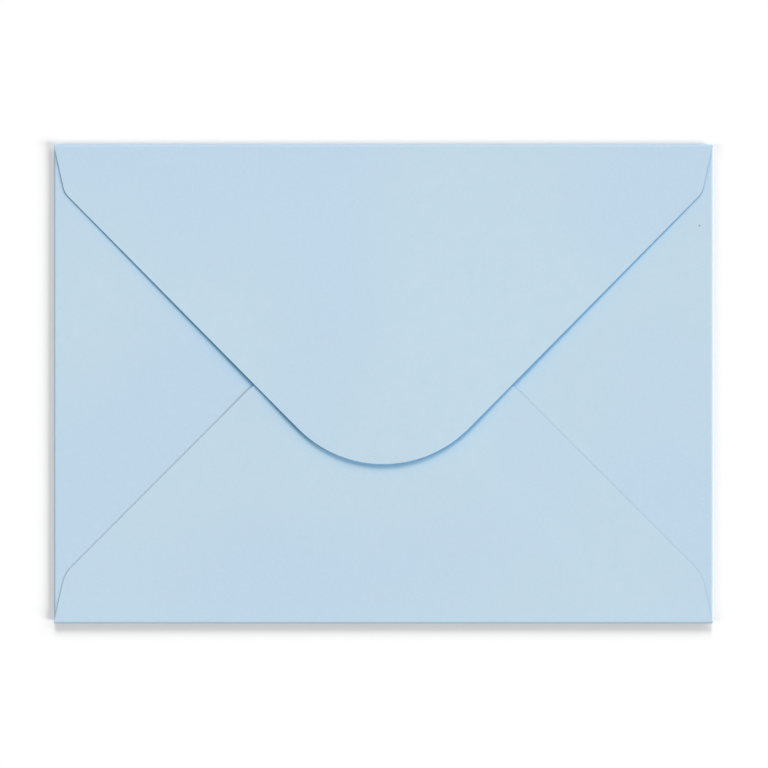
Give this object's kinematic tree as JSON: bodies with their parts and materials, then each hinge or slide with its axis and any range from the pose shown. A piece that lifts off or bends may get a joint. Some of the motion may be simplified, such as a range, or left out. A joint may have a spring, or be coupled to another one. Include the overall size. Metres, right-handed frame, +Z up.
{
  "type": "paper envelope",
  "caption": "Closed paper card envelope with a deep pointed closing flap laid over a stuck bottom flap and two side flaps, lying face down.",
  "frame": {"origin": "middle of the address side's outer face, which lies on the table", "axes": "+X along the envelope's long side, +Y along its short side towards the closing flap's fold, +Z up out of the flap side"},
  "size_m": [0.1836, 0.1334, 0.0023],
  "materials": {
    "paper": "matte"
  },
  "bodies": {
    "root": {"envelope": "paper"}
  },
  "joints": []
}
